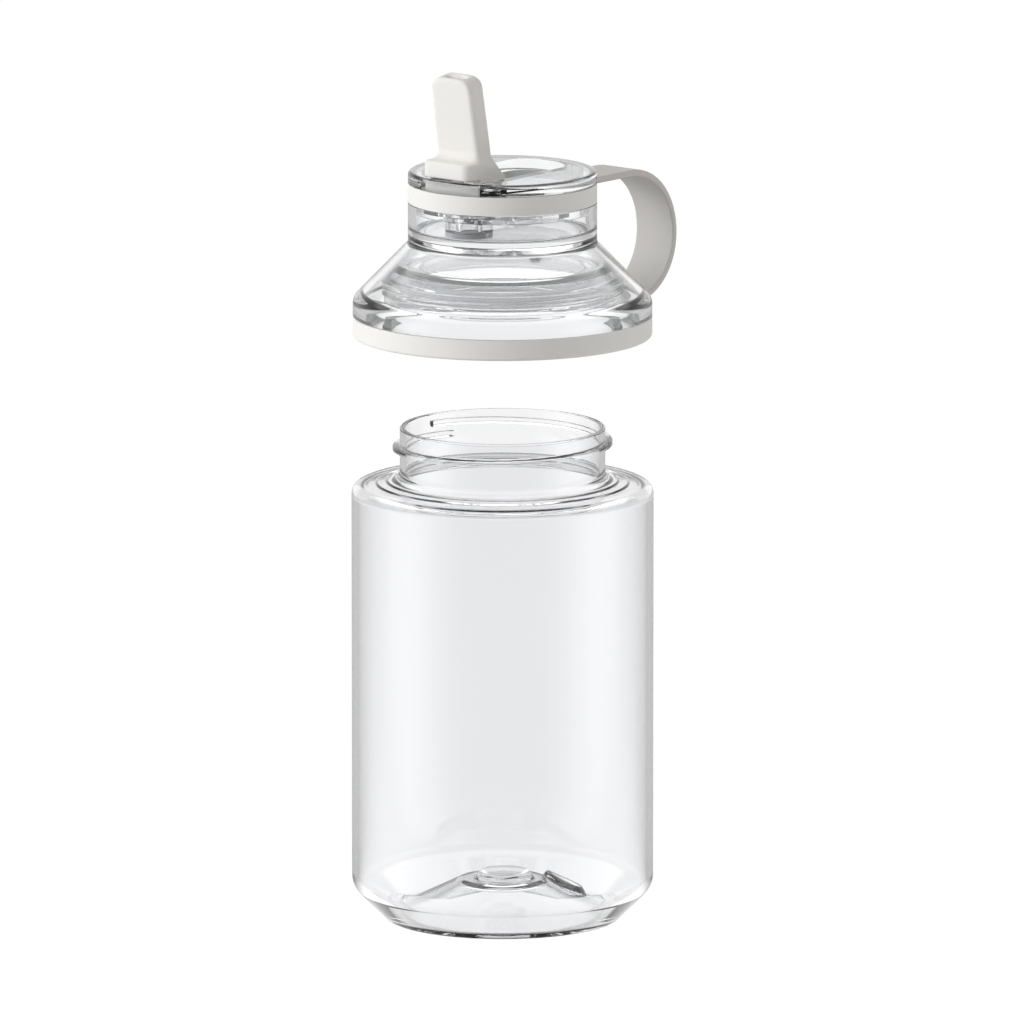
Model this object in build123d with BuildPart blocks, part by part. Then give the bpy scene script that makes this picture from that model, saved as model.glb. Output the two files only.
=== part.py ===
from build123d import *
import os
from math import cos, radians, sin

# A clear drinks bottle with its screw lid lifted straight up off the neck.
# Millimetres, +Z up. The origin is the centre of the bottle's foot, on the
# surface it stands on. The spout is towards -Y and the carry loop towards +Y.

# ---------------------------------------------------------------- driving sizes
# Bottle
bottle_radius = 40.0
body_wall = 1.8
body_height = 116.9            # floor to the edge of the shoulder
shoulder_rise = 1.4            # from that edge up to the root of the neck
seat_radius = 35.6             # the shoulder is level outside this, for the lid's ring
rim_height = 132.2
neck_radius = 27.2
neck_wall = 1.4
foot_outer_radius = 31.2
foot_inner_radius = 27.0
foot_chamfer_height = 9.1
punt_radius = 10.8
punt_height = 8.2
floor_thickness = 2.3
shoulder_edge_round = 2.6
shoulder_inner_round = 1.6
neck_root_round = 1.4
neck_root_inner_round = 2.4
chamfer_round = 6.0
foot_round = 2.0
rim_round = 0.5
inner_chamfer_rise = 0.6       # the inside of the chamfer starts this much higher
inner_foot_inset = 0.6         # and ends this much further in
inner_foot_widening = 0.8      # the trough in the floor is this much wider than the foot
inner_punt_widening = 0.4

# Thread: one start, right-hand
thread_pitch = 3.2
thread_tip_radius = 29.1
thread_turns = 376 / 360
thread_start_angle = 159       # degrees anticlockwise from +X
thread_start_drop = 6.2        # below the rim, to the middle of the ridge
thread_root_width = 1.7
thread_tip_width = 0.9
nut_thread_angle = 240         # how far round the lid's own thread goes
nut_thread_tip_radius = 27.9
nut_root_width = 1.3
nut_tip_width = 0.7
closing_angle = 270            # turn from the thread's start to tight
climb = thread_pitch * closing_angle / 360

# Lid, all heights above its own lowest edge
lid_lift = 39.5                # how far it hangs above its closed place
closed_gap = 0.3               # between the base ring and the shoulder
lid_base = body_height + closed_gap + lid_lift
ring_height = 5.5
lid_radius = 39.6
ring_inner_radius = 38.2
spigot_radius = 38.1
spigot_bottom = 0.5
skirt_inner_radius = 36.2
cone_angle_run = 0.966         # radius lost for each millimetre of height
cone_wall = 2.5                # measured level
cone_top = 25.1
tower_radius = 25.0
tower_inner_radius = 23.1
floor_bottom = 26.9
floor_top = 28.5
cone_edge_round = 3.2
cone_root_round = 1.2
strap_ring_bottom = 36.05
strap_ring_top = 41.0
deck_top = 44.2

# Lid core
core_flange_radius = 36.1
core_flange_bottom = 1.5
core_flange_top = 2.9
core_radius = 31.2
core_bore_radius = 29.6
web_bottom = 17.3
web_top = 19.1
plug_radius = 24.7
plug_bore_radius = 21.6
plug_bottom = 10.0
groove_radius = 23.5
groove_middle = 11.5
groove_height = 2.3
duct_bore_radius = 3.1
duct_radius = 4.6
duct_bottom = 12.5
bore_chamfer_run = 1.3         # inside the skirt, up to the web
bore_chamfer_rise = 1.7
core_chamfer_run = 3.5         # outside the skirt, up to the web
core_chamfer_rise = 3.7
vent_y = 13.5
vent_bore_radius = 1.4
vent_hole_radius = 0.55
vent_hole_circle_radius = 2.7
vent_hole_count = 6

# Seals
packing_inner_radius = 25.0
packing_outer_radius = 28.0
packing_height = 2.0
packing_edge = 0.3
seal_gap = 0.15
oring_radius = 1.0
oring_gap = 0.05
washer_radius = 3.6            # round the boss's top, under the drum
washer_thickness = 1.4
washer_recess = 1.2
duct_seal_radius = 4.6
duct_seal_thickness = 1.2
valve_radius = 4.4
valve_thickness = 0.8
valve_gap = 0.1
valve_stem_radius = 1.3
valve_bead_radius = 2.0
valve_tip_radius = 1.0
valve_bead_height = 1.6

# Deck
spigot_ring_radius = 22.9
spigot_ring_wall = 1.5
spigot_ring_bottom = 33.5
trough_half_width = 9.2
trough_wall = 1.5
trough_front = -19.8
trough_back = 19.5
trough_step = -6.5             # the drum's well is in front of this, the deep part behind
trough_corner = 6.0
well_floor = 35.9
trough_floor = 32.5
boss_radius = 6.2
boss_bore_radius = 2.4
deck_edge_round = 1.1
deck_overlap = 1.0             # how far below the deck's top the trough's block stops
drain_y = 9.0
drain_radius = 0.9

# Spout
pivot_y = -13.5
pivot_height = 42.2
lean = 9.5                     # degrees forward, as it stands open
axis_offset = 0.6              # the spout's middle plane passes this far in front of the pivot
drum_radius = 5.9
drum_half_width = 8.0
drum_edge = 0.6
shelf_front = -23.8
shelf_bottom = 44.8
shelf_top = 49.2
shelf_corner = 2.5
shelf_edge_round = 1.0
riser_width = 14.6
riser_thickness = 5.9
riser_corner = 1.6
riser_top = 10.6               # along the spout's own axis, from the pivot
mouth_top = 30.4
mouth_top_width = 13.6
mouth_corner = 3.6
tube_width = 10.4
tube_thickness = 3.4
tube_top = 24.0
tube_bore_width = 8.0
tube_bore_thickness = 1.8
tube_bore_corner = 0.8
slot_width = 6.4
slot_thickness = 1.6
slot_corner = 0.7
dish_width = 9.0
dish_thickness = 3.4
dish_depth = 1.0
port_radius = 2.2
pin_radius = 1.2
pin_hole_gap = 0.05            # all round each pin
pin_end_gap = 0.2
pin_inner_end = 4.0
pin_outer_end = trough_half_width + trough_wall

# Carry strap
strap_width = 12.8
strap_thickness = 1.8
strap_top = 38.9               # upper face of the band where it leaves the ring
strap_bottom = 2.8             # lower face of the band where it enters the base ring
strap_reach = 64.8             # outermost face, from the axis
upper_bend_radius = 19.0
lower_bend_radius = 16.9
strap_end_y = 36.25
strap_root_overlap = 1.2       # how far the band starts inside the ring's face
strap_edge_round = 0.5
strap_slot_gap = 0.2
strap_head_half_width = 7.6
strap_head_thickness = 0.95
strap_head_height = 2.8


def circles_at(part, radius, height):
    """Circular edges of a turned part with this radius at this height."""
    rings = part.edges().filter_by(GeomType.CIRCLE)
    rings = rings.filter_by(lambda e: abs(e.radius - radius) < 0.01)
    return rings.filter_by(lambda e: abs(e.center().Z - height) < 0.01)


def lid_outline(*points):
    """Closed outline from pairs of radius and height above the lid's lowest edge."""
    Polyline(*[(radius, lid_base + height) for radius, height in points], close=True)


def cone_radius(height):
    """Outer radius of the lid's cone at a height above the lid's lowest edge."""
    return tower_radius + cone_angle_run * (cone_top - height)


def cone_height(radius):
    """Height above the lid's lowest edge where the cone has this outer radius."""
    return cone_top - (radius - tower_radius) / cone_angle_run


def thread_ridge(root_radius, tip_radius, root_width, tip_width, start_angle, start_height, turns):
    """A helical ridge, its trapezoid standing on root_radius and reaching to tip_radius."""
    with BuildPart() as ridge:
        with BuildLine(Plane.XY.offset(start_height)) as path:
            Helix(thread_pitch, thread_pitch * turns, root_radius)
        start = Plane(origin=path.line @ 0, x_dir=(1, 0, 0), z_dir=path.line % 0)
        with BuildSketch(start):
            depth = tip_radius - root_radius
            with BuildLine():
                Polyline(
                    (0, -root_width / 2),
                    (depth, -tip_width / 2),
                    (depth, tip_width / 2),
                    (0, root_width / 2),
                    close=True,
                )
            make_face()
        sweep(path=path.line, is_frenet=True)
    return ridge.part.rotate(Axis.Z, start_angle)


# ---------------------------------------------------------------- bottle
# Clear copolyester, blow-moulded in one piece: a chamfered foot round a raised
# punt, a straight body, a nearly level shoulder and a neck with one thread.
inner_radius = bottle_radius - body_wall
neck_bore = neck_radius - neck_wall
root_overlap = 0.4

with BuildPart() as bottle:
    with BuildSketch(Plane.XZ):
        with BuildLine():
            Polyline(
                (0, punt_height),
                (punt_radius, punt_height),
                (foot_inner_radius, 0),
                (foot_outer_radius, 0),
                (bottle_radius, foot_chamfer_height),
                (bottle_radius, body_height),
                (seat_radius, body_height),
                (neck_radius, body_height + shoulder_rise),
                (neck_radius, rim_height),
                (neck_bore, rim_height),
                (neck_bore, body_height + shoulder_rise - body_wall),
                (inner_radius, body_height - body_wall),
                (inner_radius, foot_chamfer_height + inner_chamfer_rise),
                (foot_outer_radius - inner_foot_inset, floor_thickness),
                (foot_inner_radius + inner_foot_widening, floor_thickness),
                (punt_radius + inner_punt_widening, punt_height + floor_thickness),
                (0, punt_height + floor_thickness),
                close=True,
            )
        make_face()
    revolve(axis=Axis.Z)
    root_height = body_height + shoulder_rise
    fillet(circles_at(bottle, bottle_radius, body_height), radius=shoulder_edge_round)
    fillet(circles_at(bottle, inner_radius, body_height - body_wall), radius=shoulder_inner_round)
    fillet(circles_at(bottle, neck_radius, root_height), radius=neck_root_round)
    fillet(circles_at(bottle, neck_bore, root_height - body_wall), radius=neck_root_inner_round)
    fillet(circles_at(bottle, bottle_radius, foot_chamfer_height), radius=chamfer_round)
    fillet(circles_at(bottle, foot_outer_radius, 0), radius=foot_round)
    fillet(circles_at(bottle, punt_radius, punt_height), radius=foot_round)
    fillet(circles_at(bottle, neck_radius, rim_height), radius=rim_round)
    fillet(circles_at(bottle, neck_bore, rim_height), radius=rim_round)
    add(
        thread_ridge(
            neck_radius - root_overlap,
            thread_tip_radius,
            thread_root_width,
            thread_tip_width,
            thread_start_angle,
            rim_height - thread_start_drop,
            thread_turns,
        )
    )


# ---------------------------------------------------------------- lid shell
# Clear moulding: a spigot for the base ring, a short upright band, the cone,
# and the tower with the floor that divides it from the cone.
spigot_notch_half_width = 8.0
duct_hole_radius = 2.6
air_hole_radius = 1.2

with BuildPart() as lid_shell:
    with BuildSketch(Plane.XZ):
        with BuildLine():
            lid_outline(
                (0, floor_top),
                (tower_inner_radius, floor_top),
                (tower_inner_radius, strap_ring_bottom),
                (tower_radius, strap_ring_bottom),
                (tower_radius, cone_top),
                (lid_radius, cone_height(lid_radius)),
                (lid_radius, ring_height),
                (spigot_radius, ring_height),
                (spigot_radius, spigot_bottom),
                (skirt_inner_radius, spigot_bottom),
                (skirt_inner_radius, cone_height(skirt_inner_radius + cone_wall)),
                (cone_radius(floor_bottom) - cone_wall, floor_bottom),
                (0, floor_bottom),
            )
        make_face()
    revolve(axis=Axis.Z)
    cone_edge = circles_at(lid_shell, lid_radius, lid_base + cone_height(lid_radius))
    fillet(cone_edge, radius=cone_edge_round)
    fillet(circles_at(lid_shell, tower_radius, lid_base + cone_top), radius=cone_root_round)
    with BuildSketch(Plane.XY.offset(lid_base + floor_bottom)):
        with Locations((0, pivot_y)):
            Circle(duct_hole_radius)
        with Locations((0, vent_y)):
            Circle(air_hole_radius)
    extrude(amount=floor_top - floor_bottom, mode=Mode.SUBTRACT)
    with BuildSketch(Plane.XY.offset(lid_base)):
        with Locations((0, lid_radius)):
            Rectangle(2 * spigot_notch_half_width, 2 * (lid_radius - skirt_inner_radius) + 1)
    extrude(amount=ring_height, mode=Mode.SUBTRACT)

# ---------------------------------------------------------------- lid core
# Clear moulding welded inside the shell: the threaded skirt, the web over the
# neck, the plug that goes into the neck and the duct up to the shell's floor.
nut_start_drop = thread_start_drop + thread_pitch / 2
nut_start_angle = 180          # degrees anticlockwise from +X
nut_lead_angle = nut_start_angle + 360 - thread_start_angle
nut_start_height = rim_height - nut_start_drop + thread_pitch * nut_lead_angle / 360 - climb
nut_start_height += lid_lift

with BuildPart() as lid_core:
    with BuildSketch(Plane.XZ):
        with BuildLine():
            lid_outline(
                (0, web_bottom),
                (plug_bore_radius, web_bottom),
                (plug_bore_radius, plug_bottom),
                (plug_radius, plug_bottom),
                (plug_radius, groove_middle - groove_height / 2),
                (groove_radius, groove_middle - groove_height / 2),
                (groove_radius, groove_middle + groove_height / 2),
                (plug_radius, groove_middle + groove_height / 2),
                (plug_radius, web_bottom),
                (core_bore_radius - bore_chamfer_run, web_bottom),
                (core_bore_radius, web_bottom - bore_chamfer_rise),
                (core_bore_radius, core_flange_bottom),
                (core_flange_radius, core_flange_bottom),
                (core_flange_radius, core_flange_top),
                (core_radius, core_flange_top),
                (core_radius, web_top - core_chamfer_rise),
                (core_radius - core_chamfer_run, web_top),
                (0, web_top),
            )
        make_face()
    revolve(axis=Axis.Z)
    with BuildSketch(Plane.XY.offset(lid_base + duct_bottom)):
        with Locations((0, pivot_y)):
            Circle(duct_radius)
    extrude(amount=floor_bottom - duct_bottom)
    with BuildSketch(Plane.XY.offset(lid_base + duct_bottom)):
        with Locations((0, pivot_y)):
            Circle(duct_bore_radius)
    extrude(amount=floor_bottom - duct_bottom, mode=Mode.SUBTRACT)
    with BuildSketch(Plane.XY.offset(lid_base + web_bottom)):
        with Locations((0, vent_y)):
            Circle(vent_bore_radius)
            with PolarLocations(vent_hole_circle_radius, vent_hole_count):
                Circle(vent_hole_radius)
    extrude(amount=web_top - web_bottom, mode=Mode.SUBTRACT)
    add(
        thread_ridge(
            core_bore_radius + root_overlap,
            nut_thread_tip_radius,
            nut_root_width,
            nut_tip_width,
            nut_start_angle,
            nut_start_height,
            nut_thread_angle / 360,
        )
    )

# ---------------------------------------------------------------- seals
# Silicone rings. The packing lies loose round the plug and lands on the rim.
packing_bottom = rim_height + seal_gap + lid_lift - climb
with BuildPart() as lid_packing:
    with BuildSketch(Plane.XY.offset(packing_bottom)):
        Circle(packing_outer_radius)
        Circle(packing_inner_radius, mode=Mode.SUBTRACT)
    extrude(amount=packing_height)
    chamfer(lid_packing.edges().filter_by(GeomType.CIRCLE), length=packing_edge)

with BuildPart() as plug_seal:
    with BuildSketch(Plane.XZ):
        with Locations((groove_radius + oring_radius + oring_gap, lid_base + groove_middle)):
            Circle(oring_radius)
    revolve(axis=Axis.Z)

with BuildPart() as spout_seal:
    with BuildSketch(Plane.XY.offset(lid_base + well_floor - washer_recess)):
        with Locations((0, pivot_y)):
            Circle(washer_radius)
            Circle(boss_bore_radius, mode=Mode.SUBTRACT)
    extrude(amount=washer_thickness)

with BuildPart() as duct_seal:
    with BuildSketch(Plane.XY.offset(lid_base + floor_top)):
        with Locations((0, pivot_y)):
            Circle(duct_seal_radius)
            Circle(duct_hole_radius, mode=Mode.SUBTRACT)
    extrude(amount=duct_seal_thickness)

# The umbrella valve: its stem goes up through the web and a bead holds it.
standing = (Align.CENTER, Align.CENTER, Align.MIN)
stem_length = web_top - web_bottom + 2 * valve_gap
with BuildPart() as vent_valve:
    with Locations((0, vent_y, lid_base + web_bottom - valve_gap - valve_thickness)):
        Cylinder(valve_radius, valve_thickness, align=standing)
    with Locations((0, vent_y, lid_base + web_bottom - valve_gap)):
        Cylinder(valve_stem_radius, stem_length, align=standing)
    with Locations((0, vent_y, lid_base + web_top + valve_gap)):
        Cone(valve_bead_radius, valve_tip_radius, valve_bead_height, align=standing)

# ---------------------------------------------------------------- base ring
# White band snapped over the shell's spigot. The slot at the back lets the
# carry strap's end through to its head, which the band then traps.
ring_edge_round = 0.8
slot_reach = 4.0               # across the band at the slot, more than its thickness
with BuildPart() as base_ring:
    with BuildSketch(Plane.XZ):
        with BuildLine():
            lid_outline(
                (skirt_inner_radius, 0),
                (lid_radius, 0),
                (lid_radius, ring_height),
                (ring_inner_radius, ring_height),
                (ring_inner_radius, spigot_bottom),
                (skirt_inner_radius, spigot_bottom),
            )
        make_face()
    revolve(axis=Axis.Z)
    fillet(circles_at(base_ring, lid_radius, lid_base), radius=ring_edge_round)
    with BuildSketch(Plane.XY.offset(lid_base + strap_bottom - strap_slot_gap)):
        with Locations((0, lid_radius)):
            Rectangle(strap_width + 2 * strap_slot_gap, slot_reach)
    extrude(amount=strap_thickness + 2 * strap_slot_gap, mode=Mode.SUBTRACT)

# ---------------------------------------------------------------- carry strap
# One white flexible moulding: a ring round the deck's spigot and a band that
# loops out and down to the base ring, where its head is trapped.
upper_centre_y = strap_reach - upper_bend_radius
upper_centre_z = lid_base + strap_top - upper_bend_radius
lower_centre_y = strap_reach - lower_bend_radius
lower_centre_z = lid_base + strap_bottom + lower_bend_radius
half_thick = strap_thickness / 2
strap_middle_y = strap_reach - half_thick

with BuildPart() as carry_strap:
    with BuildLine(Plane.YZ) as band_path:
        top_run = Line(
            (tower_radius - strap_root_overlap, lid_base + strap_top - half_thick),
            (upper_centre_y, lid_base + strap_top - half_thick),
        )
        upper_centre = (upper_centre_y, upper_centre_z)
        upper_bend = CenterArc(upper_centre, upper_bend_radius - half_thick, 90, -90)
        Line(upper_bend @ 1, (strap_middle_y, lower_centre_z))
        lower_centre = (lower_centre_y, lower_centre_z)
        lower_bend = CenterArc(lower_centre, lower_bend_radius - half_thick, 0, -90)
        Line(lower_bend @ 1, (strap_end_y, lid_base + strap_bottom + half_thick))
    with BuildSketch(Plane(origin=top_run @ 0, x_dir=(1, 0, 0), z_dir=(0, 1, 0))):
        RectangleRounded(strap_width, strap_thickness, strap_edge_round)
    sweep(path=band_path.line)
    with BuildSketch(Plane.XY.offset(lid_base + strap_ring_bottom)):
        Circle(tower_radius)
    extrude(amount=strap_ring_top - strap_ring_bottom)
    with BuildSketch(Plane.XY.offset(lid_base + strap_ring_bottom)):
        Circle(tower_inner_radius)
    extrude(amount=strap_ring_top - strap_ring_bottom, mode=Mode.SUBTRACT)
    head_middle = strap_bottom + half_thick
    with Locations((0, strap_end_y, lid_base + head_middle)):
        Box(
            2 * strap_head_half_width,
            strap_head_thickness,
            strap_head_height,
            align=(Align.CENTER, Align.MIN, Align.CENTER),
        )

# ---------------------------------------------------------------- deck
# Clear moulding that closes the tower: a disc, the spigot inside the strap
# ring, the trough that the folded spout lies in, the drum's well and the boss.
trough_outer = trough_half_width + trough_wall
with BuildPart() as deck:
    with BuildSketch(Plane.XY.offset(lid_base + spigot_ring_bottom)):
        Circle(spigot_ring_radius)
        Circle(spigot_ring_radius - spigot_ring_wall, mode=Mode.SUBTRACT)
    extrude(amount=strap_ring_top - spigot_ring_bottom)
    with BuildSketch(Plane.XY.offset(lid_base + strap_ring_top)):
        Circle(tower_radius)
    extrude(amount=deck_top - strap_ring_top)
    fillet(circles_at(deck, tower_radius, lid_base + deck_top), radius=deck_edge_round)
    with BuildSketch(Plane.XY.offset(lid_base + well_floor - trough_wall)):
        with Locations((0, (trough_front - trough_wall + trough_step) / 2)):
            Rectangle(2 * trough_outer, trough_step - trough_front + trough_wall)
        Circle(spigot_ring_radius, mode=Mode.INTERSECT)
    extrude(amount=deck_top - deck_overlap - well_floor + trough_wall)
    with BuildSketch(Plane.XY.offset(lid_base + trough_floor - trough_wall)) as trough_block:
        with Locations((0, (trough_back + trough_step) / 2)):
            Rectangle(2 * trough_outer, trough_back - trough_step + 2 * trough_wall)
        back_corners = trough_block.vertices().group_by(Axis.Y)[-1]
        fillet(back_corners, radius=trough_corner + trough_wall)
    extrude(amount=deck_top - deck_overlap - trough_floor + trough_wall)
    with BuildSketch(Plane.XY.offset(lid_base + well_floor)):
        with Locations((0, (trough_front + trough_step) / 2)):
            Rectangle(2 * trough_half_width, trough_step - trough_front)
    extrude(amount=deck_top - well_floor, mode=Mode.SUBTRACT)
    with BuildSketch(Plane.XY.offset(lid_base + trough_floor)) as trough_hole:
        with Locations((0, (trough_back + trough_step) / 2)):
            Rectangle(2 * trough_half_width, trough_back - trough_step)
        back_corners = trough_hole.vertices().group_by(Axis.Y)[-1]
        fillet(back_corners, radius=trough_corner)
    extrude(amount=deck_top - trough_floor, mode=Mode.SUBTRACT)
    with BuildSketch(Plane.XY.offset(lid_base + floor_top)):
        with Locations((0, pivot_y)):
            Circle(boss_radius)
    extrude(amount=well_floor - trough_wall - floor_top)
    with BuildSketch(Plane.XY.offset(lid_base + floor_top)):
        with Locations((0, pivot_y)):
            Circle(boss_bore_radius)
    extrude(amount=well_floor - floor_top, mode=Mode.SUBTRACT)
    with BuildSketch(Plane.XY.offset(lid_base + well_floor - washer_recess)):
        with Locations((0, pivot_y)):
            Circle(washer_radius)
    extrude(amount=washer_recess, mode=Mode.SUBTRACT)
    with BuildSketch(Plane.XY.offset(lid_base + floor_top)):
        with Locations((0, pivot_y)):
            Circle(duct_seal_radius)
    extrude(amount=duct_seal_thickness, mode=Mode.SUBTRACT)
    with BuildSketch(Plane.YZ.offset(-pin_outer_end - 1)):
        with Locations((pivot_y, lid_base + pivot_height)):
            Circle(pin_radius)
    extrude(amount=2 * pin_outer_end + 2, mode=Mode.SUBTRACT)
    with BuildSketch(Plane.XY.offset(lid_base + trough_floor - trough_wall)):
        with Locations((0, drain_y)):
            Circle(drain_radius)
    extrude(amount=trough_wall, mode=Mode.SUBTRACT)

# ---------------------------------------------------------------- hinge pins
# Two short steel pins, pressed through the trough's walls into the drum, so
# that the duct between them stays open.
pin_parts = {}
for side_name, side in (("left", -1), ("right", 1)):
    with BuildPart() as pin:
        with BuildSketch(Plane.YZ.offset(side * pin_inner_end)):
            with Locations((pivot_y, lid_base + pivot_height)):
                Circle(pin_radius)
        extrude(amount=side * (pin_outer_end - pin_inner_end))
    pin_parts["hinge_pin_" + side_name] = pin.part

# ---------------------------------------------------------------- spout base
# White hard moulding: the hinge drum, the thumb shelf, the riser and the flat
# tube that the mouthpiece is pushed over. It leans forward as it stands open.
spout_plane = Plane(
    origin=(0, pivot_y - axis_offset, lid_base + pivot_height),
    x_dir=(1, 0, 0),
    z_dir=(0, -sin(radians(lean)), cos(radians(lean))),
)
face_plane = Plane(
    origin=spout_plane.origin,
    x_dir=(1, 0, 0),
    z_dir=spout_plane.y_dir * -1,
)
pin_hole_depth = drum_half_width - pin_inner_end + pin_end_gap

with BuildPart() as spout_base:
    with BuildSketch(Plane.YZ.offset(-drum_half_width)):
        with Locations((pivot_y, lid_base + pivot_height)):
            Circle(drum_radius)
    extrude(amount=2 * drum_half_width)
    chamfer(spout_base.edges().filter_by(GeomType.CIRCLE), length=drum_edge)
    with BuildSketch(Plane.XY.offset(lid_base + shelf_bottom)) as shelf_outline:
        with Locations((0, (shelf_front + pivot_y) / 2)):
            Rectangle(2 * drum_half_width, pivot_y - shelf_front)
        fillet(shelf_outline.vertices().group_by(Axis.Y)[0], radius=shelf_corner)
    extrude(amount=shelf_top - shelf_bottom)
    shelf_rim = spout_base.faces().filter_by(Axis.Z).sort_by(Axis.Z)[-1].edges()
    fillet(shelf_rim.sort_by(Axis.Y)[0], radius=shelf_edge_round)
    with BuildSketch(spout_plane):
        RectangleRounded(riser_width, riser_thickness, riser_corner)
    extrude(amount=riser_top)
    with BuildSketch(spout_plane):
        RectangleRounded(tube_width, tube_thickness, riser_corner)
    extrude(amount=tube_top)
    with BuildSketch(spout_plane):
        RectangleRounded(tube_bore_width, tube_bore_thickness, tube_bore_corner)
    extrude(amount=tube_top, mode=Mode.SUBTRACT)
    with BuildSketch(Plane.XY.offset(lid_base + pivot_height - drum_radius)):
        with Locations((0, pivot_y)):
            Circle(port_radius)
    extrude(amount=drum_radius, mode=Mode.SUBTRACT)
    with BuildSketch(Plane.YZ.offset(-drum_half_width)):
        with Locations((pivot_y, lid_base + pivot_height)):
            Circle(pin_radius + pin_hole_gap)
    extrude(amount=pin_hole_depth, mode=Mode.SUBTRACT)
    with BuildSketch(Plane.YZ.offset(drum_half_width)):
        with Locations((pivot_y, lid_base + pivot_height)):
            Circle(pin_radius + pin_hole_gap)
    extrude(amount=-pin_hole_depth, mode=Mode.SUBTRACT)

# ---------------------------------------------------------------- mouthpiece
# White soft sleeve over the flat tube, with a dished oval mouth on top.
with BuildPart() as mouthpiece:
    with BuildSketch(face_plane) as front:
        with BuildLine():
            Polyline(
                (-riser_width / 2, riser_top),
                (riser_width / 2, riser_top),
                (mouth_top_width / 2, mouth_top),
                (-mouth_top_width / 2, mouth_top),
                close=True,
            )
        make_face()
        fillet(front.vertices().group_by(Axis.Z)[-1], radius=mouth_corner)
    extrude(amount=riser_thickness / 2, both=True)
    long_edges = mouthpiece.edges().filter_by(lambda e: e.length > (mouth_top - riser_top) / 2)
    long_edges = long_edges.filter_by(lambda e: abs(e.tangent_at(0.5).Z) > 0.8)
    fillet(long_edges, radius=riser_corner)
    with BuildSketch(spout_plane.offset(riser_top)):
        RectangleRounded(tube_width, tube_thickness, riser_corner)
    extrude(amount=tube_top - riser_top, mode=Mode.SUBTRACT)
    with BuildSketch(spout_plane.offset(tube_top)):
        RectangleRounded(slot_width, slot_thickness, slot_corner)
    extrude(amount=mouth_top - tube_top, mode=Mode.SUBTRACT)
    with BuildSketch(spout_plane.offset(mouth_top - dish_depth)):
        RectangleRounded(dish_width, dish_thickness, riser_corner)
    extrude(amount=dish_depth, mode=Mode.SUBTRACT)

# ---------------------------------------------------------------- write out
os.makedirs("parts", exist_ok=True)
bottle.part.label = "bottle"
export_step(bottle.part, "parts/bottle.step")
lid_shell.part.label = "lid_shell"
export_step(lid_shell.part, "parts/lid_shell.step")
lid_core.part.label = "lid_core"
export_step(lid_core.part, "parts/lid_core.step")
lid_packing.part.label = "lid_packing"
export_step(lid_packing.part, "parts/lid_packing.step")
plug_seal.part.label = "plug_seal"
export_step(plug_seal.part, "parts/plug_seal.step")
spout_seal.part.label = "spout_seal"
export_step(spout_seal.part, "parts/spout_seal.step")
duct_seal.part.label = "duct_seal"
export_step(duct_seal.part, "parts/duct_seal.step")
vent_valve.part.label = "vent_valve"
export_step(vent_valve.part, "parts/vent_valve.step")
base_ring.part.label = "base_ring"
export_step(base_ring.part, "parts/base_ring.step")
carry_strap.part.label = "carry_strap"
export_step(carry_strap.part, "parts/carry_strap.step")
deck.part.label = "deck"
export_step(deck.part, "parts/deck.step")
spout_base.part.label = "spout_base"
export_step(spout_base.part, "parts/spout_base.step")
mouthpiece.part.label = "mouthpiece"
export_step(mouthpiece.part, "parts/mouthpiece.step")
for pin_name, pin_part in pin_parts.items():
    pin_part.label = pin_name
    export_step(pin_part, "parts/" + pin_name + ".step")
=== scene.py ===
from math import ceil, cos, hypot, pi, radians, sin, tan

import bpy
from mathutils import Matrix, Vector


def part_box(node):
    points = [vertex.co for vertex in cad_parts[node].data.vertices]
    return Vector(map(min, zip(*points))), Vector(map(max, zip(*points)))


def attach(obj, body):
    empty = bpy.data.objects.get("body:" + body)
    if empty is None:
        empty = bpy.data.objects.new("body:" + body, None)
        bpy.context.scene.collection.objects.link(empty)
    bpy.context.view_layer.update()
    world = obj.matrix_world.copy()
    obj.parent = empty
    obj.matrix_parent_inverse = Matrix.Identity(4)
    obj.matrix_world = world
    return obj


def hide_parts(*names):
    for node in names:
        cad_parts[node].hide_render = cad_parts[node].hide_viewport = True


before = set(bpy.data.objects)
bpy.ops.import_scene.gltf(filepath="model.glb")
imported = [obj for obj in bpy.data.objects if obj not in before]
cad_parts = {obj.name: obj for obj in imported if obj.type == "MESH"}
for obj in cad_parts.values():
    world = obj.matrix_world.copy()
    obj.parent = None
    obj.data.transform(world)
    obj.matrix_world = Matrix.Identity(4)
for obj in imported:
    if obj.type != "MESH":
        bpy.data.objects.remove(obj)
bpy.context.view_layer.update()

# ---------------------------------------------------------------- camera
# A long lens a little above the bottle's middle, turned two fifths of the way
# from the spout towards the side, so the carry loop stands out at the right.
camera_azimuth = radians(40)
camera_elevation = radians(10.7)
camera_distance = 5.0
aim_aside = 0.0025
aim_height = 0.1091
sensor_width = 36              # millimetres, as is the lens
lens_length = 664
farthest_seen = 60

camera_data = bpy.data.cameras.new("camera")
camera_data.sensor_width = sensor_width
camera_data.lens = lens_length
camera_data.clip_end = farthest_seen
camera = bpy.data.objects.new("camera", camera_data)
bpy.context.scene.collection.objects.link(camera)
towards_camera = Vector(
    (
        sin(camera_azimuth) * cos(camera_elevation),
        -cos(camera_azimuth) * cos(camera_elevation),
        sin(camera_elevation),
    )
)
aim = Vector((aim_aside * cos(camera_azimuth), aim_aside * sin(camera_azimuth), aim_height))
camera.location = aim + towards_camera * camera_distance
camera.rotation_mode = "QUATERNION"
camera.rotation_quaternion = (-towards_camera).to_track_quat("-Z", "Y")
bpy.context.scene.camera = camera

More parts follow.
